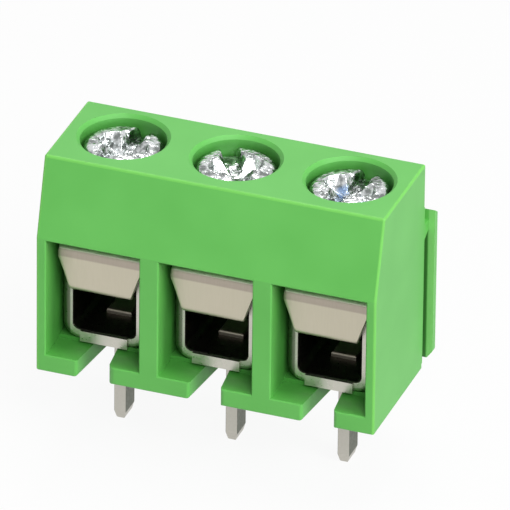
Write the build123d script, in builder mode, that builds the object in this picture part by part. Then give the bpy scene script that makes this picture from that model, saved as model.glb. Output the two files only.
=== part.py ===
from build123d import *
import os

# A three-pole screw terminal block for a printed circuit board, in millimetres.
# X runs along the row, the wires enter from -Y, and Z points up from the board.
# The origin is the middle solder pin where it leaves the seating face.

# Row
pole_pitch = 5.0
pole_count = 3
pole_x = [pole_pitch * (i - (pole_count - 1) / 2) for i in range(pole_count)]
row_length = pole_pitch * pole_count
half_row = row_length / 2

# Screws
screw_diameter = 2.5
thread_clearance = 0.02
tip_chamfer = 0.3
head_diameter = 3.4
head_height = 1.13          # from its underside to the edge of the dome
head_dome = 0.12
head_edge_bevel = 0.22
dome_radius = ((head_diameter / 2) ** 2 + head_dome ** 2) / (2 * head_dome)
recess_length = 2.4
recess_width = 0.62
recess_depth = 0.75         # below the crown of the dome
recess_draft = 0.3          # how much narrower the recess is at its floor
recess_turns = [65, 130, 62]
slot_width = 0.5
slot_depth = 0.45
clamp_travel = 1.8
screw_offset = 0.25         # the screws stand this far in front of the pins
screw_y = -screw_offset

# Solder pins, blades staked into the floors of the cages
pin_thickness = 0.52
pin_width = 1.02
pin_length = 3.7            # below the seating face
pin_taper = 0.1
pin_taper_length = 0.4
pin_tip_round = 0.13
pin_fit = 0.01
stake_spread = 0.29         # past the blade's broad faces
stake_overhang = 0.165      # past its narrow ones
stake_height = 0.22
stake_round = 0.1
pin_shoulder = 0.24
pin_shoulder_height = 0.5

# Terminal cages, folded from strip
strip = 0.48
bed_height = 0.98           # raised floor of the housing that carries the cages
cage_width = 3.8
cage_height = 4.32
cage_front_reach = 2.15     # in front of the screw's axis
cage_back_reach = 1.6
cage_inner_round = 0.3
cage_edge_round = 0.25      # left by the shears round the outside of the front edge
cage_lip_inset = 0.85       # from each side of the cage to the lip
cage_lip_reach = 0.12
collar_height = 0.8         # drawn collar that carries the thread
collar_wall = 0.2
collar_radius = screw_diameter / 2 + thread_clearance + collar_wall
cage_lip_width = cage_width - 2 * cage_lip_inset
cage_front_y = screw_y - cage_front_reach
cage_depth = cage_front_reach + cage_back_reach
cage_floor_z = bed_height + strip
cage_top_z = bed_height + cage_height
collar_top_z = cage_top_z + collar_height

# Wire guards, each a leaf of spring strip folded over a cage
leaf = 0.3
guard_seat_gap = 0.05
guard_inset = 0.02          # narrower than the cage on each side
guard_front_gap = 0.25      # between the hanging flap and the front of the cage
guard_hole_clearance = 0.05
guard_bend = 0.4
flap_drop = 1.76            # below the top of the cage
tongue_side_play = 0.1      # between the tongue and the inside of the cage
flap_waist_flare = 0.26     # how much wider the waist is than the tongue, on each side
flap_waist_rise = 0.8       # above the lower end of the flap
flap_shoulder_drop = 0.1    # full-width part of the flap under its top bend
tongue_bend = 0.34
tongue_back_reach = 0.95    # behind the screw's axis
guard_width = cage_width - 2 * guard_inset
tongue_width = cage_width - 2 * strip - 2 * tongue_side_play
flap_waist_width = tongue_width + 2 * flap_waist_flare
guard_under_z = cage_top_z + guard_seat_gap
guard_top_z = guard_under_z + leaf
guard_back_y = screw_y + cage_back_reach
flap_inner_y = cage_front_y - guard_front_gap
flap_outer_y = flap_inner_y - leaf
flap_bottom_z = cage_top_z - flap_drop
flap_waist_z = flap_bottom_z + flap_waist_rise
flap_shoulder_z = guard_top_z - guard_bend - flap_shoulder_drop
tongue_top_z = flap_bottom_z + leaf

# Heights up a screw, with the clamp open
tip_gap = 0.05              # between a screw's tip and the tongue under it
head_landing_gap = 0.4      # left under the head when the clamp is shut
screw_tip_z = tongue_top_z + tip_gap
head_under_z = collar_top_z + head_landing_gap + clamp_travel
head_rim_z = head_under_z + head_height
dome_top_z = head_rim_z + head_dome

# Screw wells in the top
head_clearance = 0.13
well_depth = 0.25           # from the top of the housing to the crown of a head
well_chamfer = 0.15
well_diameter = head_diameter + 2 * head_clearance

# Housing, seen from the end
front_reach = 3.6           # from the screws' axes to the lower front face
top_land = 0.37             # between a well's chamfer and the upper rear face
front_setback = 0.95        # how far the front leans back at the top
edge_round = 0.09
front_y = screw_y - front_reach
rear_y = screw_y + well_diameter / 2 + well_chamfer + top_land
housing_height = dome_top_z + well_depth

# Wire windows and the chambers behind them
cage_side_play = 0.175
cage_back_play = 0.1
collar_headroom = 0.15
slant_above_window = 0.08   # upright strip between a window and the leaning front
window_bevel = 0.05
foot_height = 0.8           # floor in front of the cages
bed_setback = 0.15          # from the front of a cage to the front of its bed
window_width = cage_width + 2 * cage_side_play
window_top = collar_top_z + collar_headroom
slant_base_z = window_top + slant_above_window
chamber_back_y = screw_y + cage_back_reach + cage_back_play

# Slots in the floor that let the pins slide in from the front
pin_side_play = 0.07
shoulder_play = 0.1
slot_flare = 0.35           # on each side, from the pin out to the front
slot_lead_rounds = [0.34, 0.2, 0.2]
slot_lip_round = 0.15
slot_throat = pin_thickness + 2 * pin_side_play
slot_mouth = slot_throat + 2 * slot_flare
slot_back_y = pin_width / 2 + pin_shoulder + shoulder_play

# Ledge and rail across the back, which line blocks up side by side
rail_gap = 0.5
rail_thickness = 0.55
rail_reach = 0.28           # how far the rail stands out past the end of the block
rail_bottom = 0.27
rail_slot_depth = 0.8
shoulder_below_top = 2.05
shoulder_fall = 0.75        # over the full depth of the ledge
bridge_drop = 1.55          # from the top of the shoulder to the underside of the bridge
bridge_height = 0.7
rail_top_round = 0.22
rail_toe_width = 0.26
rail_toe_height = 0.34
rail_back_chamfer = 0.25
groove_clearance = 0.05
rail_front_y = rear_y + rail_gap
back_y = rail_front_y + rail_thickness
rail_end_x = half_row + rail_reach
shoulder_top = housing_height - shoulder_below_top
bridge_bottom = shoulder_top - bridge_drop
bridge_top = bridge_bottom + bridge_height

overcut = 1.0               # how far a cut runs past the face that it opens


def level(x, y, z):
    """Horizontal sketch plane with its origin over a place on the board."""
    return Plane(origin=(x, y, z))


def end_view(x):
    """Upright sketch plane across the row: its axes are Y and Z."""
    return Plane(origin=(x, 0, 0), x_dir=(0, 1, 0), z_dir=(1, 0, 0))


def front_view(x, y):
    """Upright sketch plane along the row, seen from the front: its axes are X and Z."""
    return Plane(origin=(x, y, 0), x_dir=(1, 0, 0), z_dir=(0, -1, 0))


def save(piece, name):
    piece.part.label = name
    export_step(piece.part, f"parts/{name}.step")


os.makedirs("parts", exist_ok=True)

# Housing
with BuildPart() as housing:
    # The block itself is upright below and leans back above the windows.
    with BuildSketch(end_view(-half_row)):
        with BuildLine():
            Polyline(
                (front_y, 0),
                (rear_y, 0),
                (rear_y, housing_height),
                (front_y + front_setback, housing_height),
                (front_y, slant_base_z),
                close=True,
            )
        make_face()
    extrude(amount=row_length)
    fillet(housing.edges(), radius=edge_round)

    # The back is thicker below a sloping shoulder, and reaches past one end as a rail.
    ledge_front_y = rear_y - edge_round
    with BuildSketch(end_view(-half_row)):
        with BuildLine():
            Polyline(
                (ledge_front_y, rail_bottom),
                (back_y, rail_bottom),
                (back_y, shoulder_top - shoulder_fall),
                (rear_y, shoulder_top),
                (ledge_front_y, shoulder_top),
                close=True,
            )
        make_face()
    extrude(amount=row_length + rail_reach)

    # A slot sets the rail off from the end face. A short bridge near its top ties the two.
    slot_end_x = half_row - rail_slot_depth
    with BuildSketch(end_view(slot_end_x)):
        with BuildLine():
            Polyline(
                (rear_y, 0),
                (rail_front_y, 0),
                (rail_front_y, bridge_bottom + rail_gap / 2),
                (rear_y, bridge_bottom),
                close=True,
            )
        make_face()
        with BuildLine():
            Polyline(
                (rear_y, bridge_top),
                (rail_front_y, bridge_top),
                (rail_front_y, shoulder_top),
                (rear_y, shoulder_top),
                close=True,
            )
        make_face()
    extrude(amount=rail_slot_depth + rail_reach + overcut, mode=Mode.SUBTRACT)
    with BuildSketch(end_view(half_row)):
        with Locations(((ledge_front_y + rail_front_y) / 2, shoulder_top / 2)):
            Rectangle(rail_front_y - ledge_front_y, shoulder_top + overcut)
    extrude(amount=rail_reach + overcut, mode=Mode.SUBTRACT)

    # The rail's own edges: a toe for starting it, a rounded top and a thinned back.
    with BuildSketch(front_view(0, back_y + overcut)):
        with BuildLine():
            Polyline(
                (rail_end_x - rail_toe_width, rail_bottom),
                (rail_end_x, rail_bottom + rail_toe_height),
                (rail_end_x + overcut, rail_bottom + rail_toe_height),
                (rail_end_x + overcut, rail_bottom - overcut),
                (rail_end_x - rail_toe_width, rail_bottom - overcut),
                close=True,
            )
        make_face()
    extrude(amount=rail_thickness + 2 * overcut, mode=Mode.SUBTRACT)
    with BuildSketch(level(0, 0, 0)):
        with BuildLine():
            Polyline(
                (rail_end_x, back_y - rail_back_chamfer),
                (rail_end_x - rail_back_chamfer, back_y),
                (rail_end_x + overcut, back_y),
                close=True,
            )
        make_face()
    extrude(amount=housing_height, mode=Mode.SUBTRACT)
    rail_corner = housing.edges().filter_by(Axis.Y).group_by(Axis.X)[-1].sort_by(Axis.Z)[-1:]
    fillet(rail_corner, radius=rail_top_round)

    # The far end has the groove that a neighbour's rail slides into.
    with BuildSketch(level(-half_row, 0, rail_bottom)):
        with Locations((0, (rail_front_y + back_y) / 2)):
            Rectangle(2 * (rail_reach + groove_clearance), rail_thickness + 2 * groove_clearance)
    extrude(amount=housing_height, mode=Mode.SUBTRACT)

    # Each pole: a chamber open to the front, a well for the screw and a slot for the pin.
    for x, lead_round in zip(pole_x, slot_lead_rounds):
        with BuildSketch(end_view(x)):
            with BuildLine():
                Polyline(
                    (front_y - overcut, foot_height),
                    (cage_front_y + bed_setback, foot_height),
                    (cage_front_y + bed_setback, bed_height),
                    (chamber_back_y, bed_height),
                    (chamber_back_y, window_top),
                    (front_y - overcut, window_top),
                    close=True,
                )
            make_face()
        extrude(amount=window_width / 2, both=True, mode=Mode.SUBTRACT)

        window_height = window_top - foot_height
        with BuildSketch(front_view(x, front_y)):
            with Locations((0, foot_height + window_height / 2)):
                Rectangle(window_width + 2 * window_bevel, window_height + 2 * window_bevel)
        with BuildSketch(front_view(x, front_y + window_bevel)):
            with Locations((0, foot_height + window_height / 2)):
                Rectangle(window_width, window_height)
        loft(mode=Mode.SUBTRACT)

        with BuildSketch(level(x, screw_y, window_top)):
            Circle(well_diameter / 2)
        extrude(amount=housing_height, mode=Mode.SUBTRACT)
        well_rim = housing.edges().filter_by(GeomType.CIRCLE).group_by(Axis.Z)[-1]
        chamfer(well_rim.sort_by_distance((x, screw_y, housing_height))[:1], well_chamfer)

        lead_x = slot_mouth / 2 + lead_round
        lead_y = front_y + lead_round
        lead_sag = lead_round * (1 - 0.5 ** 0.5)
        with BuildSketch(level(x, 0, 0)):
            with BuildLine():
                Polyline(
                    (lead_x, front_y - overcut),
                    (-slot_mouth / 2, front_y - overcut),
                    (-slot_mouth / 2, front_y),
                    (-slot_throat / 2, -pin_width / 2),
                    (-slot_throat / 2, slot_back_y),
                    (slot_throat / 2, slot_back_y),
                    (slot_throat / 2, -pin_width / 2),
                    (slot_mouth / 2, lead_y),
                )
                ThreePointArc(
                    (slot_mouth / 2, lead_y),
                    (slot_mouth / 2 + lead_sag, front_y + lead_sag),
                    (lead_x, front_y),
                )
                Line((lead_x, front_y), (lead_x, front_y - overcut))
            make_face()
        extrude(amount=bed_height, mode=Mode.SUBTRACT)
        lips = housing.edges().group_by(Axis.Z)[0]
        lips = lips.filter_by_position(Axis.X, x - slot_mouth / 2, x + slot_mouth / 2)
        lips = lips.filter_by_position(Axis.Y, front_y + edge_round, -pin_width / 2)
        fillet(lips, radius=slot_lip_round)

save(housing, "housing")

for number, x in enumerate(pole_x, start=1):
    # Cage: a closed loop of strip, with a drawn collar for the thread in its top wall.
    with BuildPart() as cage:
        with BuildSketch(front_view(x, cage_front_y)):
            with Locations((0, bed_height + cage_height / 2)):
                RectangleRounded(cage_width, cage_height, cage_inner_round + strip)
                RectangleRounded(
                    cage_width - 2 * strip,
                    cage_height - 2 * strip,
                    cage_inner_round,
                    mode=Mode.SUBTRACT,
                )
        extrude(amount=-cage_depth)
        fillet(cage.faces().sort_by(Axis.Y)[0].outer_wire().edges(), radius=cage_edge_round)
        with BuildSketch(front_view(x, cage_front_y + cage_edge_round)):
            with Locations((0, bed_height + strip / 2)):
                Rectangle(cage_lip_width, strip)
        extrude(amount=cage_edge_round + cage_lip_reach)
        with BuildSketch(level(x, screw_y, cage_top_z)):
            Circle(collar_radius)
        extrude(amount=collar_height)
        with BuildSketch(level(x, screw_y, cage_top_z - strip)):
            Circle(screw_diameter / 2 + thread_clearance)
        extrude(amount=strip + collar_height, mode=Mode.SUBTRACT)
        with BuildSketch(level(x, 0, bed_height)):
            Rectangle(pin_thickness + 2 * pin_fit, pin_width + 2 * pin_fit)
        extrude(amount=strip, mode=Mode.SUBTRACT)
    save(cage, f"cage_{number}")

    # Solder pin: a blade with a shoulder under the cage floor and a staked head on it.
    with BuildPart() as pin:
        with BuildSketch(level(x, 0, -pin_length + pin_taper_length)):
            Rectangle(pin_thickness, pin_width)
        extrude(amount=pin_length - pin_taper_length + cage_floor_z)
        with BuildSketch(level(x, 0, -pin_length + pin_taper_length)):
            Rectangle(pin_thickness, pin_width)
        with BuildSketch(level(x, 0, -pin_length)):
            Rectangle(pin_thickness - 2 * pin_taper, pin_width - 2 * pin_taper)
        loft()
        fillet(pin.edges().group_by(Axis.Z)[0], radius=pin_tip_round)
        with BuildSketch(level(x, 0, bed_height - pin_shoulder_height)):
            Rectangle(pin_thickness, pin_width + 2 * pin_shoulder)
        extrude(amount=pin_shoulder_height)
        with BuildSketch(level(x, 0, cage_floor_z)):
            Rectangle(pin_thickness + 2 * stake_spread, pin_width + 2 * stake_overhang)
        extrude(amount=stake_height)
        fillet(pin.edges().group_by(Axis.Z)[-1], radius=stake_round)
    save(pin, f"solder_pin_{number}")

    # Wire guard: it lies on the cage, hangs in front of it and turns in under the screw.
    with BuildPart() as guard:
        with BuildSketch(end_view(x)) as leaf_profile:
            with BuildLine():
                Polyline(
                    (guard_back_y, guard_under_z),
                    (guard_back_y, guard_top_z),
                    (flap_outer_y, guard_top_z),
                    (flap_outer_y, flap_bottom_z),
                    (screw_y + tongue_back_reach, flap_bottom_z),
                    (screw_y + tongue_back_reach, tongue_top_z),
                    (flap_inner_y, tongue_top_z),
                    (flap_inner_y, guard_under_z),
                    close=True,
                )
            make_face()
            # A sketch's own axes are X and Y, here along the board and up.
            outer, inner = leaf_profile.vertices().group_by(Axis.X)[:2]
            fillet(outer.sort_by(Axis.Y)[-1:], radius=guard_bend)
            fillet(outer.sort_by(Axis.Y)[:1], radius=tongue_bend)
            fillet(inner.sort_by(Axis.Y)[-1:], radius=guard_bend - leaf)
            fillet(inner.sort_by(Axis.Y)[:1], radius=tongue_bend - leaf)
        extrude(amount=guard_width / 2, both=True)
        with BuildSketch(front_view(x, flap_outer_y - overcut)) as flap_sides:
            for side in (-1, 1):
                with BuildLine():
                    edge_top = (side * guard_width / 2, flap_shoulder_z)
                    edge_foot = (side * tongue_width / 2, flap_bottom_z)
                    ThreePointArc(edge_top, (side * flap_waist_width / 2, flap_waist_z), edge_foot)
                    Polyline(
                        edge_foot,
                        (side * tongue_width / 2, flap_bottom_z - overcut),
                        (side * (guard_width / 2 + overcut), flap_bottom_z - overcut),
                        (side * (guard_width / 2 + overcut), flap_shoulder_z),
                        edge_top,
                    )
                make_face()
        extrude(amount=-(cage_depth + 2 * overcut), mode=Mode.SUBTRACT)
        with BuildSketch(level(x, screw_y, guard_under_z)):
            Circle(collar_radius + guard_hole_clearance)
        extrude(amount=leaf, mode=Mode.SUBTRACT)
    save(guard, f"wire_guard_{number}")

    # Screw: a low domed head over a plain-modelled shank of the thread's outer size.
    with BuildPart() as screw:
        with BuildSketch(front_view(x, screw_y)) as half_profile:
            with BuildLine():
                Polyline(
                    (0, dome_top_z),
                    (0, screw_tip_z),
                    (screw_diameter / 2 - tip_chamfer, screw_tip_z),
                    (screw_diameter / 2, screw_tip_z + tip_chamfer),
                    (screw_diameter / 2, head_under_z),
                    (head_diameter / 2, head_under_z),
                    (head_diameter / 2, head_rim_z),
                )
                RadiusArc((head_diameter / 2, head_rim_z), (0, dome_top_z), -dome_radius)
            make_face()
            head_edge = half_profile.vertices().sort_by_distance((head_diameter / 2, head_rim_z))
            chamfer(head_edge[:1], length=head_edge_bevel)
        revolve(axis=Axis((x, screw_y, 0), (0, 0, 1)))
        turn = recess_turns[number - 1]
        with BuildSketch(level(x, screw_y, dome_top_z - slot_depth)):
            Rectangle(head_diameter + overcut, slot_width, rotation=turn)
        extrude(amount=slot_depth + overcut, mode=Mode.SUBTRACT)
        for arm_turn in (turn, turn + 90):
            with BuildSketch(level(x, screw_y, dome_top_z)):
                Rectangle(recess_length, recess_width, rotation=arm_turn)
            with BuildSketch(level(x, screw_y, dome_top_z - recess_depth)):
                Rectangle(recess_length - recess_draft, recess_width - recess_draft, rotation=arm_turn)
            loft(mode=Mode.SUBTRACT)
    save(screw, f"screw_{number}")
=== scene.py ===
import math

import bpy
import numpy as np
from mathutils import Matrix


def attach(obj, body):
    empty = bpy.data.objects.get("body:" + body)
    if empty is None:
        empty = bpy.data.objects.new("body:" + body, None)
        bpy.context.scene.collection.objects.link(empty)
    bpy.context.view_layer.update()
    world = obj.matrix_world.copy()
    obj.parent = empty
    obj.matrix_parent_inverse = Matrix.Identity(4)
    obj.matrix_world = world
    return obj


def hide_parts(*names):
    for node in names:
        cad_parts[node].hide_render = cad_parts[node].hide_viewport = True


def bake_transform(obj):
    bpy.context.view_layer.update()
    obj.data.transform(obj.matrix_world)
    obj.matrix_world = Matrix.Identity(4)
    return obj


# A green three-pole screw terminal block on a white table, at the photograph's angle.
# Lengths are written in millimetres and turned to metres with MM.
# X runs along the row, the wires enter from -Y, and Z points up from the board.

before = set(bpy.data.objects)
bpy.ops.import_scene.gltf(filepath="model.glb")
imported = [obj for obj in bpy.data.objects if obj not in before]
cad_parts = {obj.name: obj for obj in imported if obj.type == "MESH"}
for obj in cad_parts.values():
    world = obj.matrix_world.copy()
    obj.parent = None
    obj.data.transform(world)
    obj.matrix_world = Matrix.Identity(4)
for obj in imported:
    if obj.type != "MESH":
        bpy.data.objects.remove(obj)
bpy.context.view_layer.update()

MM = 0.001

# Row
PITCH = 5.0
POLES = (1, 2, 3)
POLE_X = {1: -PITCH, 2: 0.0, 3: PITCH}
SCREW_Y = -0.25

# Housing
HALF_ROW = 7.5
TOP_Z = 9.8
FRONT_Y = -3.85
SLANT_BASE_Z = 6.33
SLANT = math.radians(15.3)
EDGE_HIGHLIGHT_WIDTH = 0.1
REAR_SLOT_Y = 2.12
REAR_SLOT_END_Y = 2.64
REAR_SLOT_TOP_Z = 6.45
REAR_SLOT_FADE = 0.06
RAIL_FRONT_Y = 2.6
RAIL_FRONT_NEAR = 0.03
WINDOW_HALF_WIDTH = 2.13
WINDOW_TOP_Z = 6.28
WINDOW_FADE_START = 0.06
WINDOW_FADE_END = 0.9
CHAMBER_BACK_Y = 2.0
WELL_RADIUS = 2.1
WELL_FADE_START = 0.02
WELL_FADE_END = 0.42

# Screws, M2.5 with a coarse thread
HEAD_RADIUS = 1.7
HEAD_UNDER_Z = 8.3
CROWN_Z = 9.55
DOME_RADIUS = 12.1
HEAD_EDGE_ROUND = 0.3
UNDER_EDGE_ROUND = 0.06
SLOT_TURN = {1: 75.0, 2: 122.0, 3: 77.0}
SLOT_WIDTH = 0.66
SLOT_DEPTH = 0.62
SLOT_WALL_SLOPE = 5.0
SLOT_FLOOR_INSET = 0.04
SLOT_WALL_START_DEG = 5
SLOT_WALL_END_DEG = 14
RECESS_LENGTH = 2.4
RECESS_FLOOR_WIDTH = 0.3
RECESS_DEPTH = 0.75
RECESS_FLOOR_RISE = 0.35
RECESS_WALL_SLOPE = 1.5
RECESS_EDGE_BLEND = 0.12
THREAD_RADIUS = 1.25
THREAD_PITCH = 0.45
THREAD_DEPTH = 0.24
THREAD_FLANK = 1.5
THREAD_ROOT = 0.3
NECK_LENGTH = 0.35
NECK_START = 0.03
TIP_Z = 3.89
TIP_CHAMFER = 0.3

# Wire guards, folded from spring strip
LEAF = 0.3
GUARD_TOP_Z = 5.65
GUARD_HALF_WIDTH = 1.88
GUARD_BACK_Y = 1.35
GUARD_HOLE_RADIUS = 1.52
FLAP_Y = -2.95
TOP_BEND = 0.4
FOOT_BEND = 0.34
FLAP_SHOULDER_Z = 5.15
FLAP_WAIST_Z = 4.34
FLAP_FOOT_Z = 3.54
FLAP_WAIST_HALF = 1.58
TONGUE_HALF = 1.32
TONGUE_END_Y = 0.7
BEND_SHADE_Z = 5.16
BEND_CREST_Z = 5.5
BEND_FADE = 0.03
SHEARED_ROUND = 0.035

# Cages
CAGE_LEFT_REFLECTION_X = -1.56
CAGE_LEFT_REFLECTION_FADE = 0.06
CAGE_INSIDE_HALF_WIDTH = 1.5
CAGE_INSIDE_TOP_Z = 4.9
CAGE_SHADE_START_Y = -2.38
CAGE_SHADE_END_Y = -2.25

# Solder pins
PIN_BROAD_FACE_X = 0.25
PIN_INSIDE_Z = 0.9

# The table top that the pins stand on
TABLE_Z = -3.7
TABLE_REACH = 400.0
PAPER_GLOW = 0.92


# Colours and materials

def colour(code):
    """Linear colour with alpha from an sRGB hex code."""
    parts = [int(code[i:i + 2], 16) / 255 for i in (1, 3, 5)]
    linear = [p / 12.92 if p <= 0.04045 else ((p + 0.055) / 1.055) ** 2.4 for p in parts]
    return (*linear, 1.0)


def add(tree, kind, settings=None, sockets=None):
    """Add one node, set its properties, and give each named input a value or a link."""
    node = tree.nodes.new(kind)
    for name, value in (settings or {}).items():
        setattr(node, name, value)
    for name, value in (sockets or {}).items():
        if isinstance(value, bpy.types.NodeSocket):
            tree.links.new(value, node.inputs[name])
        else:
            node.inputs[name].default_value = value
    return node


def blank(name):
    """An empty material, its node tree, and the place on the piece in millimetres."""
    material = bpy.data.materials.new(name)
    material.use_nodes = True
    tree = material.node_tree
    tree.nodes.clear()
    place = add(tree, "ShaderNodeTexCoord")
    scaled = add(tree, "ShaderNodeVectorMath", {"operation": "SCALE"},
                 {0: place.outputs["Object"], "Scale": 1 / MM})
    return material, tree, scaled.outputs[0]


def finish_with(tree, shader):
    """Lead a shader to the material's surface."""
    add(tree, "ShaderNodeOutputMaterial", None, {"Surface": shader.outputs[0]})


def all_of(tree, masks):
    """The product of several masks, which is one only where each of them is one."""
    product = masks[0]
    for mask in masks[1:]:
        product = add(tree, "ShaderNodeMath", {"operation": "MULTIPLY"}, {0: product, 1: mask}).outputs[0]
    return product


def beside_pole(tree, split):
    """Place along the row, measured from the middle of the nearest pole."""
    return add(tree, "ShaderNodeMath", {"operation": "WRAP"},
               {0: split.outputs["X"], 1: PITCH / 2, 2: -PITCH / 2}).outputs[0]


def on_outer_edge(tree, split, off_middle):
    """Mask of the housing's outer edges, where a highlight is painted: places near two of its front, an end
    and its top.

    The depth behind the front is the lesser of two: behind the upright wall, and behind the wall
    that leans back by the angle SLANT from the height SLANT_BASE_Z.
    """
    upright = add(tree, "ShaderNodeMath", {"operation": "SUBTRACT"}, {0: split.outputs["Y"], 1: FRONT_Y})
    over_base = add(tree, "ShaderNodeMath", {"operation": "SUBTRACT"},
                    {0: split.outputs["Z"], 1: SLANT_BASE_Z})
    lean = add(tree, "ShaderNodeMath", {"operation": "MULTIPLY"},
               {0: over_base.outputs[0], 1: -math.tan(SLANT)})
    slanting = add(tree, "ShaderNodeMath", {"operation": "ADD"}, {0: upright.outputs[0], 1: lean.outputs[0]})
    depth = add(tree, "ShaderNodeMath", {"operation": "MINIMUM"},
                {0: upright.outputs[0], 1: slanting.outputs[0]})
    near_front = add(tree, "ShaderNodeMath", {"operation": "LESS_THAN"},
                     {0: depth.outputs[0], 1: EDGE_HIGHLIGHT_WIDTH})
    near_end = add(tree, "ShaderNodeMath", {"operation": "GREATER_THAN"},
                   {0: off_middle, 1: HALF_ROW - EDGE_HIGHLIGHT_WIDTH})
    near_top = add(tree, "ShaderNodeMath", {"operation": "GREATER_THAN"},
                   {0: split.outputs["Z"], 1: TOP_Z - EDGE_HIGHLIGHT_WIDTH})
    two_sides = add(tree, "ShaderNodeMath", {"operation": "ADD"},
                    {0: near_front.outputs[0], 1: near_end.outputs[0]})
    all_sides = add(tree, "ShaderNodeMath", {"operation": "ADD"},
                    {0: two_sides.outputs[0], 1: near_top.outputs[0]})
    # A sum over 1.5 means that at least two of the three are near.
    return add(tree, "ShaderNodeMath", {"operation": "GREATER_THAN"},
               {0: all_sides.outputs[0], 1: 1.5}).outputs[0]


def in_rear_slot(tree, split, off_middle):
    """Mask of the narrow slots between the ends of the body and the rail behind them, where a shade is
    painted.
    """
    behind = add(tree, "ShaderNodeMath", {"operation": "GREATER_THAN"},
                 {0: split.outputs["Y"], 1: REAR_SLOT_Y})
    in_front = add(tree, "ShaderNodeMath", {"operation": "LESS_THAN"},
                   {0: split.outputs["Y"], 1: REAR_SLOT_END_Y})
    under = add(tree, "ShaderNodeMath", {"operation": "LESS_THAN"},
                {0: split.outputs["Z"], 1: REAR_SLOT_TOP_Z})
    within = add(tree, "ShaderNodeMapRange", None,
                 {"Value": off_middle, "From Min": HALF_ROW, "From Max": HALF_ROW - REAR_SLOT_FADE})
    return all_of(tree, [behind.outputs[0], in_front.outputs[0], under.outputs[0], within.outputs["Result"]])


def on_rail_front(tree, split):
    """Mask of the rail's front face, as far as the rail stands out past the end of the body, where light is
    painted as a paler green.
    """
    past_end = add(tree, "ShaderNodeMath", {"operation": "GREATER_THAN"},
                   {0: split.outputs["X"], 1: HALF_ROW})
    to_front = add(tree, "ShaderNodeMath", {"operation": "SUBTRACT"},
                   {0: split.outputs["Y"], 1: RAIL_FRONT_Y})
    off_front = add(tree, "ShaderNodeMath", {"operation": "ABSOLUTE"}, {0: to_front.outputs[0]})
    at_front = add(tree, "ShaderNodeMath", {"operation": "LESS_THAN"},
                   {0: off_front.outputs[0], 1: RAIL_FRONT_NEAR})
    return all_of(tree, [past_end.outputs[0], at_front.outputs[0]])


def in_shaded_recess(tree, split):
    """Mask of the painted shade in the windows with their chambers and in the wells, which grows the further
    in they reach.
    """
    across = beside_pole(tree, split)
    off_pole = add(tree, "ShaderNodeMath", {"operation": "ABSOLUTE"}, {0: across})
    between_posts = add(tree, "ShaderNodeMath", {"operation": "LESS_THAN"},
                        {0: off_pole.outputs[0], 1: WINDOW_HALF_WIDTH})
    below_lintel = add(tree, "ShaderNodeMath", {"operation": "LESS_THAN"},
                       {0: split.outputs["Z"], 1: WINDOW_TOP_Z})
    before_rear = add(tree, "ShaderNodeMath", {"operation": "LESS_THAN"},
                      {0: split.outputs["Y"], 1: CHAMBER_BACK_Y})
    inwards = add(tree, "ShaderNodeMapRange", None,
                  {"Value": split.outputs["Y"], "From Min": FRONT_Y + WINDOW_FADE_START,
                   "From Max": FRONT_Y + WINDOW_FADE_END})
    window = all_of(tree, [between_posts.outputs[0], below_lintel.outputs[0], before_rear.outputs[0],
                           inwards.outputs["Result"]])
    along = add(tree, "ShaderNodeMath", {"operation": "SUBTRACT"}, {0: split.outputs["Y"], 1: SCREW_Y})
    level = add(tree, "ShaderNodeCombineXYZ", None, {0: across, 1: along.outputs[0]})
    radius = add(tree, "ShaderNodeVectorMath", {"operation": "LENGTH"}, {0: level.outputs[0]})
    near_axis = add(tree, "ShaderNodeMath", {"operation": "LESS_THAN"},
                    {0: radius.outputs["Value"], 1: WELL_RADIUS})
    downwards = add(tree, "ShaderNodeMapRange", None,
                    {"Value": split.outputs["Z"], "From Min": TOP_Z - WELL_FADE_START,
                     "From Max": TOP_Z - WELL_FADE_END})
    well = all_of(tree, [near_axis.outputs[0], downwards.outputs["Result"]])
    return add(tree, "ShaderNodeMath", {"operation": "MAXIMUM"}, {0: window, 1: well}).outputs[0]


def moulded_polyamide():
    """Green polyamide, injection moulded in a spark-eroded tool."""
    material, tree, place = blank("green_polyamide_moulded")
    # The tool leaves a dull, even grain of about 0.03 mm. It is drawn at 0.08 mm so that it shows.
    grain = add(tree, "ShaderNodeTexNoise", None,
                {"Vector": place, "Scale": 12.0, "Detail": 3.0, "Roughness": 0.6})
    relief = add(tree, "ShaderNodeBump", None,
                 {"Height": grain.outputs["Fac"], "Strength": 0.25, "Distance": 0.004 * MM})
    # The melt settles a little unevenly, over a few millimetres.
    flow = add(tree, "ShaderNodeTexNoise", None,
               {"Vector": place, "Scale": 0.35, "Detail": 2.0, "Roughness": 0.5})
    tint = add(tree, "ShaderNodeValToRGB", None, {"Fac": flow.outputs["Fac"]})
    tint.color_ramp.elements[0].position = 0.3
    tint.color_ramp.elements[0].color = colour("#57ad49")
    tint.color_ramp.elements[1].position = 0.7
    tint.color_ramp.elements[1].color = colour("#5eb450")

    # Painted light on the housing: the outer edges and the front of the rail get a paler green as a painted
    # highlight, the slots beside the rail a painted shade, and the windows with their chambers and the wells
    # a deeper green as a painted shade.
    split = add(tree, "ShaderNodeSeparateXYZ", None, {0: place})
    off_middle = add(tree, "ShaderNodeMath", {"operation": "ABSOLUTE"}, {0: split.outputs["X"]}).outputs[0]
    painted_light_marks = (
        (on_outer_edge(tree, split, off_middle), "#6bbf52"),
        (in_rear_slot(tree, split, off_middle), "#2f6a26"),
        (on_rail_front(tree, split), "#79c569"),
        (in_shaded_recess(tree, split), "#45913a"),
    )
    green = tint.outputs["Color"]
    for mask, code in painted_light_marks:
        mixed = add(tree, "ShaderNodeMix", {"data_type": "RGBA"}, {0: mask, 6: green, 7: colour(code)})
        green = mixed.outputs[2]

    shader = add(tree, "ShaderNodeBsdfPrincipled", None, {
        "Base Color": green,
        "Roughness": 0.46,
        "IOR": 1.53,
        "Normal": relief.outputs["Normal"],
    })
    finish_with(tree, shader)
    return material


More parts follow.
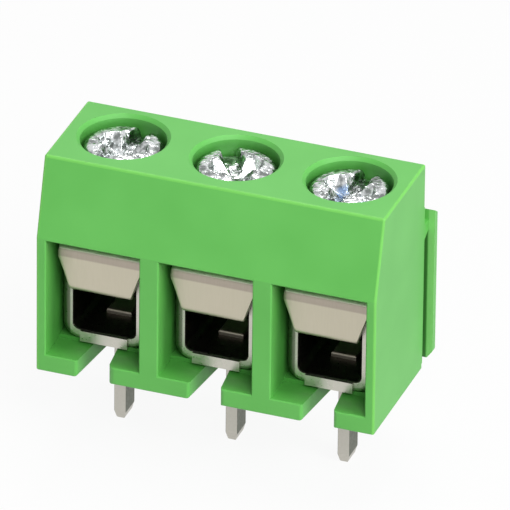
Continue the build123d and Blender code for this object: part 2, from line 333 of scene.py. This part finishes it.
def nickel_plated_steel():
    """Steel strip, folded and then barrel-plated with nickel."""
    material, tree, place = blank("nickel_plated_steel_folded")
    # Barrel plating leaves fine nodules of about 0.05 mm that break up the reflections. They are
    # drawn at 0.11 mm so that they show.
    nodules = add(tree, "ShaderNodeTexNoise", None,
                  {"Vector": place, "Scale": 9.0, "Detail": 2.0, "Roughness": 0.5})
    rough = add(tree, "ShaderNodeMapRange", None,
                {"Value": nodules.outputs["Fac"], "From Min": 0.3, "From Max": 0.7,
                 "To Min": 0.26, "To Max": 0.42})
    relief = add(tree, "ShaderNodeBump", None,
                 {"Height": nodules.outputs["Fac"], "Strength": 0.3, "Distance": 0.004 * MM})
    # The inside of each cage, behind its front edge, is painted dark: a painted shade.
    split = add(tree, "ShaderNodeSeparateXYZ", None, {0: place})
    across = beside_pole(tree, split)
    off_pole = add(tree, "ShaderNodeMath", {"operation": "ABSOLUTE"}, {0: across})
    between_walls = add(tree, "ShaderNodeMath", {"operation": "LESS_THAN"},
                        {0: off_pole.outputs[0], 1: CAGE_INSIDE_HALF_WIDTH})
    low = add(tree, "ShaderNodeMath", {"operation": "LESS_THAN"},
              {0: split.outputs["Z"], 1: CAGE_INSIDE_TOP_Z})
    behind = add(tree, "ShaderNodeMapRange", None,
                 {"Value": split.outputs["Y"], "From Min": CAGE_SHADE_START_Y, "From Max": CAGE_SHADE_END_Y})
    cage_inner_shade = all_of(tree, [between_walls.outputs[0], low.outputs[0], behind.outputs["Result"]])
    plating = add(tree, "ShaderNodeMix", {"data_type": "RGBA"},
                  {0: cage_inner_shade, 6: colour("#c9c6bc"), 7: colour("#45423c")})
    # The left wall of each cage is painted a darker, greenish grey: a painted reflection of the green wall
    # beside it.
    cage_left_reflection = add(tree, "ShaderNodeMapRange", None,
                 {"Value": across, "From Min": CAGE_LEFT_REFLECTION_X + CAGE_LEFT_REFLECTION_FADE, "From Max": CAGE_LEFT_REFLECTION_X})
    whole = add(tree, "ShaderNodeMix", {"data_type": "RGBA"},
                {0: cage_left_reflection.outputs["Result"], 6: plating.outputs[2], 7: colour("#7b7d70")})
    shader = add(tree, "ShaderNodeBsdfPrincipled", None, {
        "Base Color": whole.outputs[2],
        "Metallic": 1.0,
        "Roughness": rough.outputs["Result"],
        "Normal": relief.outputs["Normal"],
    })
    finish_with(tree, shader)
    return material


def tinned_brass():
    """Brass blade, blanked and then tinned without brightener."""
    material, tree, place = blank("tinned_brass_blanked")
    # Dull tin has crystals of about 0.04 mm, drawn at 0.1 mm so that they show.
    crystals = add(tree, "ShaderNodeTexNoise", None,
                   {"Vector": place, "Scale": 10.0, "Detail": 3.0, "Roughness": 0.65})
    rough = add(tree, "ShaderNodeMapRange", None,
                {"Value": crystals.outputs["Fac"], "From Min": 0.3, "From Max": 0.7,
                 "To Min": 0.34, "To Max": 0.55})
    relief = add(tree, "ShaderNodeBump", None,
                 {"Height": crystals.outputs["Fac"], "Strength": 0.4, "Distance": 0.01 * MM})
    # The blade's broad faces are painted darker, a painted shade. Its end inside the cage is painted a
    # darker, warmer grey, also a painted shade.
    split = add(tree, "ShaderNodeSeparateXYZ", None, {0: place})
    off_pole = add(tree, "ShaderNodeMath", {"operation": "ABSOLUTE"}, {0: beside_pole(tree, split)})
    broad = add(tree, "ShaderNodeMath", {"operation": "GREATER_THAN"},
                {0: off_pole.outputs[0], 1: PIN_BROAD_FACE_X})
    broad_face_shade = add(tree, "ShaderNodeMix", {"data_type": "RGBA"},
               {0: broad.outputs[0], 6: colour("#bfbcb3"), 7: colour("#666a5e")})
    inside = add(tree, "ShaderNodeMath", {"operation": "GREATER_THAN"},
                 {0: split.outputs["Z"], 1: PIN_INSIDE_Z})
    tin_colour = add(tree, "ShaderNodeMix", {"data_type": "RGBA"},
                     {0: inside.outputs[0], 6: broad_face_shade.outputs[2], 7: colour("#938e82")})
    shader = add(tree, "ShaderNodeBsdfPrincipled", None, {
        "Base Color": tin_colour.outputs[2],
        "Metallic": 1.0,
        "Roughness": rough.outputs["Result"],
        "Normal": relief.outputs["Normal"],
    })
    finish_with(tree, shader)
    return material


def rolled_spring_steel():
    """Spring strip with the dull face that the last roll leaves."""
    material, tree, place = blank("spring_steel_rolled")
    # Rolling draws faint lines along the strip, here 0.07 mm apart across it.
    stretched = add(tree, "ShaderNodeMapping", None, {"Vector": place, "Scale": (9.0, 0.8, 0.8)})
    lines = add(tree, "ShaderNodeTexNoise", None,
                {"Vector": stretched.outputs["Vector"], "Scale": 1.6, "Detail": 3.0, "Roughness": 0.6})
    rough = add(tree, "ShaderNodeMapRange", None,
                {"Value": lines.outputs["Fac"], "From Min": 0.3, "From Max": 0.7,
                 "To Min": 0.36, "To Max": 0.5})
    relief = add(tree, "ShaderNodeBump", None,
                 {"Height": lines.outputs["Fac"], "Strength": 0.3, "Distance": 0.005 * MM})
    # The bend is painted a darker brown, a painted shade, and its outermost line is painted bright, a
    # painted highlight.
    height = add(tree, "ShaderNodeSeparateXYZ", None, {0: place})
    bent = add(tree, "ShaderNodeMapRange", None,
               {"Value": height.outputs["Z"], "From Min": BEND_SHADE_Z - BEND_FADE,
                "From Max": BEND_SHADE_Z + BEND_FADE})
    bend_shade = add(tree, "ShaderNodeMix", {"data_type": "RGBA"},
                 {0: bent.outputs["Result"], 6: colour("#c6bfac"), 7: colour("#ada396")})
    crest = add(tree, "ShaderNodeMapRange", None,
                {"Value": height.outputs["Z"], "From Min": BEND_CREST_Z - BEND_FADE,
                 "From Max": BEND_CREST_Z})
    bend_highlight = add(tree, "ShaderNodeMix", {"data_type": "RGBA"},
                   {0: crest.outputs["Result"], 6: bend_shade.outputs[2], 7: colour("#ebe6da")})
    shader = add(tree, "ShaderNodeBsdfPrincipled", None, {
        "Base Color": bend_highlight.outputs[2],
        "Metallic": 1.0,
        "Roughness": rough.outputs["Result"],
        "Normal": relief.outputs["Normal"],
    })
    finish_with(tree, shader)
    return material


def bright_zinc():
    """Steel screw, cold headed and plated with bright zinc."""
    material, tree, place = blank("zinc_plated_steel_headed")
    # Heading leaves soft dents of about 0.3 mm in the bright face.
    dents = add(tree, "ShaderNodeTexNoise", None,
                {"Vector": place, "Scale": 3.0, "Detail": 2.0, "Roughness": 0.6})
    rough = add(tree, "ShaderNodeMapRange", None,
                {"Value": dents.outputs["Fac"], "From Min": 0.3, "From Max": 0.7,
                 "To Min": 0.12, "To Max": 0.24})
    relief = add(tree, "ShaderNodeBump", None,
                 {"Height": dents.outputs["Fac"], "Strength": 1.0, "Distance": 0.07 * MM})
    # The passivation gives the screw next to the rail patches of about a millimetre with a blue cast.
    patches = add(tree, "ShaderNodeTexNoise", None,
                  {"Vector": place, "Scale": 0.8, "Detail": 2.0, "Roughness": 0.5})
    cast = add(tree, "ShaderNodeMapRange", None,
               {"Value": patches.outputs["Fac"], "From Min": 0.56, "From Max": 0.72})
    split = add(tree, "ShaderNodeSeparateXYZ", None, {0: place})
    by_rail = add(tree, "ShaderNodeMath", {"operation": "GREATER_THAN"},
                  {0: split.outputs["X"], 1: PITCH / 2})
    blue = all_of(tree, [cast.outputs["Result"], by_rail.outputs[0]])
    # The hollows of the dents are painted dark grey and the crests between them light grey: a painted shade
    # and a painted highlight.
    crests = add(tree, "ShaderNodeMapRange", None,
                 {"Value": dents.outputs["Fac"], "From Min": 0.4, "From Max": 0.58})
    dent_shading = add(tree, "ShaderNodeMix", {"data_type": "RGBA"},
               {0: crests.outputs["Result"], 6: colour("#7f8482"), 7: colour("#d2d5d6")})
    plating = add(tree, "ShaderNodeMix", {"data_type": "RGBA"},
                  {0: blue, 6: dent_shading.outputs[2], 7: colour("#7299cb")})
    shader = add(tree, "ShaderNodeBsdfPrincipled", None, {
        "Base Color": plating.outputs[2],
        "Metallic": 1.0,
        "Roughness": rough.outputs["Result"],
        "Normal": relief.outputs["Normal"],
    })
    finish_with(tree, shader)
    return material


# Surfaces

def piece(name, points, faces, material):
    """Make an object at the origin from points in millimetres and lists of corner numbers."""
    mesh = bpy.data.meshes.new(name)
    mesh.from_pydata((np.asarray(points, float) * MM).tolist(), [], faces)
    mesh.polygons.foreach_set("use_smooth", np.ones(len(mesh.polygons), bool))
    mesh.materials.append(material)
    mesh.update()
    made = bpy.data.objects.new(name, mesh)
    bpy.context.scene.collection.objects.link(made)
    return made


def grid_faces(rows, columns, around):
    """Four-sided faces between neighbouring rows of a grid, closed round the columns if asked."""
    numbers = np.arange(rows * columns).reshape(rows, columns)
    right = np.roll(numbers, -1, axis=1)
    here, beside = (numbers, right) if around else (numbers[:, :-1], right[:, :-1])
    return np.stack([here[:-1], here[1:], beside[1:], beside[:-1]], axis=-1).reshape(-1, 4)


def smooth_min(a, b, blend):
    """The lower of two heights, with the crease between them rounded over a blend length."""
    near = np.clip(1 - np.abs(a - b) / blend, 0, 1)
    return np.minimum(a, b) - near * near * blend / 4


def driven_height(x, y, turn):
    """Height of the cut that a driver fits, over a place on the head.

    Two crossed arms have floors that rise towards their ends, and walls that slope out from them.
    One straight slot, as wide as a flat driver, runs right across with steep walls.
    """
    lowest = np.full_like(x, np.inf)
    for extra in (0.0, 90.0):
        angle = math.radians(turn + extra)
        along = np.abs(x * math.cos(angle) + y * math.sin(angle))
        across = np.abs(y * math.cos(angle) - x * math.sin(angle))
        floor = CROWN_Z - RECESS_DEPTH * (1 - RECESS_FLOOR_RISE * (2 * along / RECESS_LENGTH) ** 2)
        floor_end = RECESS_LENGTH / 2 - RECESS_DEPTH * (1 - RECESS_FLOOR_RISE) / RECESS_WALL_SLOPE
        wall = RECESS_WALL_SLOPE * np.maximum(across - RECESS_FLOOR_WIDTH / 2, 0)
        end = RECESS_WALL_SLOPE * np.maximum(along - floor_end, 0)
        lowest = np.minimum(lowest, floor + wall + end)
    angle = math.radians(turn)
    across = np.abs(y * math.cos(angle) - x * math.sin(angle))
    past_floor = np.maximum(across - (SLOT_WIDTH / 2 - SLOT_FLOOR_INSET), 0)
    slot = CROWN_Z - SLOT_DEPTH + SLOT_WALL_SLOPE * past_floor
    return np.minimum(lowest, slot)


def screw_points(x, turn):
    """Rows of points down a screw, from the middle of its head to the middle of its tip.

    The head's top is the lower of two heights: a shallow dome that rolls over its edge in an arc,
    and the driver's cut. The shank's radius is a trapezium wave of the height less the angle's
    share of one pitch, which winds it into a right-hand thread, under a cone at the tip.
    """
    # Columns lie closer where the slot's walls cross the rim.
    near, far = SLOT_WALL_START_DEG, SLOT_WALL_END_DEG
    stretches = ((-far, -near, 28), (-near, near, 10), (near, far, 28), (far, 180 - far, 84))
    half = np.concatenate([np.linspace(*stretch, endpoint=False) for stretch in stretches])
    theta = np.radians(np.concatenate([half, half + 180]) + turn)[None, :]

    # The dome and its rolled edge, in order of radius.
    dome_middle = CROWN_Z - DOME_RADIUS
    arc_radius = HEAD_RADIUS - HEAD_EDGE_ROUND
    arc_middle = dome_middle + math.sqrt((DOME_RADIUS - HEAD_EDGE_ROUND) ** 2 - arc_radius ** 2)
    arc_start = math.asin(arc_radius / (DOME_RADIUS - HEAD_EDGE_ROUND))
    flat_end = DOME_RADIUS * math.sin(arc_start)
    flat = np.linspace(0.02, flat_end, 76)
    sweep = np.linspace(arc_start, math.pi / 2, 16)[1:]
    top_r = np.concatenate([flat, arc_radius + HEAD_EDGE_ROUND * np.sin(sweep)])[:, None]
    top_z = np.concatenate([dome_middle + np.sqrt(DOME_RADIUS ** 2 - flat ** 2),
                            arc_middle + HEAD_EDGE_ROUND * np.cos(sweep)])[:, None]
    cut = driven_height(top_r * np.cos(theta), top_r * np.sin(theta), turn)
    head_z = smooth_min(top_z + 0 * theta, cut, RECESS_EDGE_BLEND)
    head_r = top_r + 0 * theta

    # The head's side starts where its top ends, at each angle, and rolls under.
    side_low = HEAD_UNDER_Z + UNDER_EDGE_ROUND
    share = np.linspace(0, 1, 14)[1:, None]
    side_z = head_z[-1:] + (side_low - head_z[-1:]) * share
    side_r = np.full_like(side_z, HEAD_RADIUS)
    under = np.linspace(0, math.pi / 2, 5)[1:, None]
    under_r = HEAD_RADIUS - UNDER_EDGE_ROUND * (1 - np.cos(under)) + 0 * theta
    under_z = side_low - UNDER_EDGE_ROUND * np.sin(under) + 0 * theta

    # The seat of the head runs in to the neck.
    neck_radius = THREAD_RADIUS - THREAD_DEPTH
    seat_r = np.linspace(HEAD_RADIUS - UNDER_EDGE_ROUND, neck_radius, 8)[1:, None] + 0 * theta
    seat_z = np.full_like(seat_r, HEAD_UNDER_Z)

    # The shank, with the wave faded out over the neck and under the cone.
    shank_z = np.linspace(HEAD_UNDER_Z - NECK_START, TIP_Z, 124)[:, None] + 0 * theta
    wave = np.abs(2 * np.mod((shank_z - TIP_Z) / THREAD_PITCH - theta / (2 * math.pi), 1) - 1)
    ridge = np.clip(THREAD_FLANK * wave - THREAD_ROOT, 0, 1)
    fade = np.clip((HEAD_UNDER_Z - NECK_LENGTH - shank_z) / THREAD_PITCH, 0, 1)
    shank_r = neck_radius + THREAD_DEPTH * ridge * fade
    shank_r = np.minimum(shank_r, THREAD_RADIUS - TIP_CHAMFER + (shank_z - TIP_Z))

    # The flat end of the tip.
    end_share = np.array([0.97, 0.6, 0.2])[:, None]
    end_r = shank_r[-1:] * end_share
    end_z = np.full_like(end_r, TIP_Z)

    radius = np.concatenate([head_r, side_r, under_r, seat_r, shank_r, end_r])
    height = np.concatenate([head_z, side_z, under_z, seat_z, shank_z, end_z])
    return np.stack([x + radius * np.cos(theta), SCREW_Y + radius * np.sin(theta), height], axis=-1)


def clamp_screw(number, material):
    """A screw as one closed surface: its rows of points, with one point in the middle of each end."""
    x = POLE_X[number]
    rows = screw_points(x, SLOT_TURN[number])
    count, columns = rows.shape[:2]
    crown = (x, SCREW_Y, rows[0, :, 2].mean())
    tip = (x, SCREW_Y, TIP_Z)
    points = np.concatenate([rows.reshape(-1, 3), [crown, tip]])
    ring = np.arange(columns)
    beside = np.roll(ring, -1)
    last = (count - 1) * columns
    first_fan = np.stack([np.full(columns, count * columns), ring, beside], axis=-1)
    last_fan = np.stack([last + ring, np.full(columns, count * columns + 1), last + beside], axis=-1)
    faces = grid_faces(count, columns, True).tolist() + first_fan.tolist() + last_fan.tolist()
    return piece(f"clamp_screw_{number}_threaded", points, faces, material)


def flap_half_width(z):
    """Half the width of the hanging flap at a height.

    It is full to the shoulder, and below that follows the circle through the shoulder's end,
    the waist and the foot, so that the sides are hollow.
    """
    (x1, z1), (x2, z2), (x3, z3) = ((GUARD_HALF_WIDTH, FLAP_SHOULDER_Z), (FLAP_WAIST_HALF, FLAP_WAIST_Z),
                                    (TONGUE_HALF, FLAP_FOOT_Z))
    lines = np.array([[x2 - x1, z2 - z1], [x3 - x2, z3 - z2]])
    reach = np.array([x2 ** 2 - x1 ** 2 + z2 ** 2 - z1 ** 2, x3 ** 2 - x2 ** 2 + z3 ** 2 - z2 ** 2]) / 2
    middle_x, middle_z = np.linalg.solve(lines, reach)
    radius = math.hypot(x1 - middle_x, z1 - middle_z)
    hollow = middle_x - np.sqrt(np.maximum(radius ** 2 - (z - middle_z) ** 2, 0))
    return np.where(z >= FLAP_SHOULDER_Z, GUARD_HALF_WIDTH, hollow)


def guard_leaf(number, material):
    """The part of a wire guard that stays put: its top plate, its two bends and its flap.

    The plate is a ring of points between the round hole and the plate's outline, each point lying
    a share of the way along a line out of the hole's middle. From the plate's front edge, rows
    follow the strip's outer face down: a quarter circle, a straight flap and a quarter circle back.
    The sheet is then given the strip's thickness inwards.
    """
    x = POLE_X[number]
    across, along, rings = 25, 25, 3
    front = FLAP_Y + TOP_BEND
    side = np.linspace(-GUARD_HALF_WIDTH, GUARD_HALF_WIDTH, across)
    depth = np.linspace(front, GUARD_BACK_Y, along)
    outline = np.concatenate([
        np.stack([side, np.full(across, front)], axis=-1)[:-1],
        np.stack([np.full(along, GUARD_HALF_WIDTH), depth], axis=-1)[:-1],
        np.stack([side[::-1], np.full(across, GUARD_BACK_Y)], axis=-1)[:-1],
        np.stack([np.full(along, -GUARD_HALF_WIDTH), depth[::-1]], axis=-1)[:-1],
    ])
    spokes = outline - [0, SCREW_Y]
    rim = [0, SCREW_Y] + GUARD_HOLE_RADIUS * spokes / np.linalg.norm(spokes, axis=1, keepdims=True)
    share = np.linspace(0, 1, rings)[:, None, None]
    plate = rim + (outline - rim) * share
    plate = np.concatenate([plate, np.full(plate.shape[:2] + (1,), GUARD_TOP_Z)], axis=-1)
    count = plate.shape[1]

    bend = np.linspace(0, math.pi / 2, 13)[1:]
    top_arc = np.stack([front - TOP_BEND * np.sin(bend),
                        GUARD_TOP_Z - TOP_BEND * (1 - np.cos(bend))], axis=-1)
    flap_z = np.linspace(GUARD_TOP_Z - TOP_BEND, FLAP_FOOT_Z + FOOT_BEND, 14)[1:]
    flap = np.stack([np.full_like(flap_z, FLAP_Y), flap_z], axis=-1)
    foot_arc = np.stack([FLAP_Y + FOOT_BEND * (1 - np.cos(bend)),
                         FLAP_FOOT_Z + FOOT_BEND * (1 - np.sin(bend))], axis=-1)
    path = np.concatenate([top_arc, flap, foot_arc])
    half = flap_half_width(path[:, 1])[:, None]
    strip_x = half * np.linspace(-1, 1, across)[None, :]
    strip = np.stack([strip_x, path[:, :1] + 0 * strip_x, path[:, 1:] + 0 * strip_x], axis=-1)

    points = np.concatenate([plate.reshape(-1, 3), strip.reshape(-1, 3)]) + [x, 0, 0]
    plate_faces = grid_faces(rings, count, True)
    rows = len(path) + 1
    numbers = np.empty((rows, across), int)
    numbers[0] = (rings - 1) * count + np.arange(across)
    numbers[1:] = rings * count + np.arange((rows - 1) * across).reshape(rows - 1, across)
    strip_faces = numbers.reshape(-1)[grid_faces(rows, across, False)]
    faces = plate_faces.tolist() + strip_faces.tolist()
    made = piece(f"guard_leaf_{number}_folded", points, faces, material)

    wall = made.modifiers.new("strip_thickness", "SOLIDIFY")
    wall.thickness = LEAF * MM
    wall.offset = -1
    wall.use_even_offset = True
    edge = made.modifiers.new("sheared_edges", "BEVEL")
    edge.width = SHEARED_ROUND * MM
    edge.segments = 2
    edge.limit_method = "ANGLE"
    edge.angle_limit = math.radians(50)
    return made


def guard_tongue(number, material):
    """The part of a wire guard that the screw presses down: a flat tongue under the screw's tip.

    Each row is the strip's section, a rectangle with its four corners rounded, and the rows are
    spread evenly from the foot of the flap to the tongue's free end.
    """
    x = POLE_X[number]
    turns = np.linspace(0, math.pi / 2, 4)
    middle_z = FLAP_FOOT_Z + LEAF / 2
    section = []
    for corner, (sx, sz) in enumerate(((1, -1), (1, 1), (-1, 1), (-1, -1))):
        angles = turns + (corner - 1) * math.pi / 2
        section.append(np.stack([sx * (TONGUE_HALF - SHEARED_ROUND) + SHEARED_ROUND * np.cos(angles),
                                 sz * (LEAF / 2 - SHEARED_ROUND) + SHEARED_ROUND * np.sin(angles)], axis=-1))
    section = np.concatenate(section)
    y = np.linspace(FLAP_Y + FOOT_BEND, TONGUE_END_Y, 45)[:, None]
    rows = np.stack([x + section[None, :, 0] + 0 * y, y + 0 * section[None, :, 0],
                     middle_z + section[None, :, 1] + 0 * y], axis=-1)
    count, columns = rows.shape[:2]
    ends = [list(range(columns)), list(range((count - 1) * columns, count * columns))[::-1]]
    faces = grid_faces(count, columns, True).tolist() + ends
    return piece(f"guard_tongue_{number}_flat", rows.reshape(-1, 3), faces, material)


# Light, table and camera

def table(material):
    """A flat sheet under the pins, wide enough to fill the picture."""
    side = np.linspace(-TABLE_REACH, TABLE_REACH, 3)
    x, y = np.meshgrid(side, side)
    points = np.stack([x.ravel(), y.ravel(), np.full(x.size, TABLE_Z)], axis=-1)
    faces = grid_faces(3, 3, False)[:, ::-1].tolist()
    return piece("white_table", points, faces, material)


def seen_directly(tree):
    """One where a ray comes from the camera, a reflection or a clear body, and nothing elsewhere."""
    path = add(tree, "ShaderNodeLightPath")
    either = add(tree, "ShaderNodeMath", {"operation": "MAXIMUM"},
                 {0: path.outputs["Is Camera Ray"], 1: path.outputs["Is Glossy Ray"]})
    return add(tree, "ShaderNodeMath", {"operation": "MAXIMUM"},
               {0: either.outputs[0], 1: path.outputs["Is Transmission Ray"]}).outputs[0]


def white_paper():
    """White paper that shows to the camera mostly as an even white, and lights the block as matt paper."""
    material = bpy.data.materials.new("white_paper")
    material.use_nodes = True
    tree = material.node_tree
    tree.nodes.clear()
    share = add(tree, "ShaderNodeMath", {"operation": "MULTIPLY"}, {0: seen_directly(tree), 1: PAPER_GLOW})
    matt = add(tree, "ShaderNodeBsdfDiffuse", None, {"Color": colour("#dcdcdc")})
    glow = add(tree, "ShaderNodeEmission", None, {"Color": colour("#ffffff"), "Strength": 1.0})
    mixed = add(tree, "ShaderNodeMixShader", None,
                {0: share.outputs[0], 1: matt.outputs[0], 2: glow.outputs[0]})
    finish_with(tree, mixed)
    return material


def lamp(name, place, aim, width, power):
    """A square, soft, white lamp at a place, turned to face its aim."""
    data = bpy.data.lights.new(name, "AREA")
    data.shape = "SQUARE"
    data.size = width * MM
    data.energy = power
    made = bpy.data.objects.new(name, data)
    away = (np.array(place, float) - np.array(aim, float))
    away /= np.linalg.norm(away)
    side = np.cross((0, 0, 1), away)
    side /= np.linalg.norm(side)
    up = np.cross(away, side)
    turn = Matrix([[*row, 0] for row in np.stack([side, up, away], axis=-1).tolist()] + [[0, 0, 0, 1]])
    made.matrix_world = Matrix.Translation([v * MM for v in place]) @ turn
    bpy.context.scene.collection.objects.link(made)


def studio():
    """White surroundings for what looks straight at them, and a softer sky for the rest."""
    world = bpy.data.worlds.new("white_room")
    bpy.context.scene.world = world
    world.use_nodes = True
    tree = world.node_tree
    tree.nodes.clear()
    sky = add(tree, "ShaderNodeBackground", None, {"Color": colour("#ffffff"), "Strength": 0.2})
    white = add(tree, "ShaderNodeBackground", None, {"Color": colour("#ffffff"), "Strength": 1.0})
    mixed = add(tree, "ShaderNodeMixShader", None,
                {0: seen_directly(tree), 1: sky.outputs[0], 2: white.outputs[0]})
    add(tree, "ShaderNodeOutputWorld", None, {"Surface": mixed.outputs[0]})
    middle = (0, 0, 5)
    lamp("lamp_above", (20, 40, 300), middle, 150, 0.3)
    lamp("lamp_right", (290, -90, 190), middle, 130, 0.72)
    lamp("lamp_front", (150, -250, 250), middle, 150, 0.8)
    lamp("lamp_behind", (-90, 250, 330), middle, 70, 0.16)


def camera():
    """The photograph's viewpoint, from the front and a little to the right, looking down."""
    azimuth, elevation, roll = (math.radians(a) for a in (19.991, 29.720, 0.649))
    aim = np.array([0.739, 0.108, 5.124])
    distance = 500.003
    back = np.array([math.sin(azimuth) * math.cos(elevation), -math.cos(azimuth) * math.cos(elevation),
                     math.sin(elevation)])
    level = np.array([math.cos(azimuth), math.sin(azimuth), 0])
    upright = np.cross(back, level)
    right = level * math.cos(roll) + upright * math.sin(roll)
    up = upright * math.cos(roll) - level * math.sin(roll)
    data = bpy.data.cameras.new("photo_camera")
    data.lens = 847.8
    data.sensor_width = 36.0
    data.clip_start = 0.01
    data.clip_end = 10.0
    made = bpy.data.objects.new("photo_camera", data)
    turn = Matrix([[*row, 0] for row in np.stack([right, up, back], axis=-1).tolist()] + [[0, 0, 0, 1]])
    made.matrix_world = Matrix.Translation(((aim + back * distance) * MM).tolist()) @ turn
    bpy.context.scene.collection.objects.link(made)
    bpy.context.scene.camera = made


# The block

plastic = moulded_polyamide()
nickel = nickel_plated_steel()
tin = tinned_brass()
spring = rolled_spring_steel()
zinc = bright_zinc()


def dress(node, material):
    """Give a solid from the part its material."""
    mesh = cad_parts[node].data
    mesh.materials.clear()
    mesh.materials.append(material)


dress("housing", plastic)
for pole in POLES:
    dress(f"cage_{pole}", nickel)
    dress(f"solder_pin_{pole}", tin)

    screw = clamp_screw(pole, zinc)
    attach(screw, f"clamp_screw_{pole}")
    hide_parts(f"screw_{pole}")

    leaf = guard_leaf(pole, spring)
    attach(leaf, "block")
    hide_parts(f"wire_guard_{pole}")

    tongue = guard_tongue(pole, spring)
    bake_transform(tongue)
    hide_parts(f"wire_guard_{pole}")

table(white_paper())
studio()
camera()
bpy.context.scene.view_settings.view_transform = "Standard"
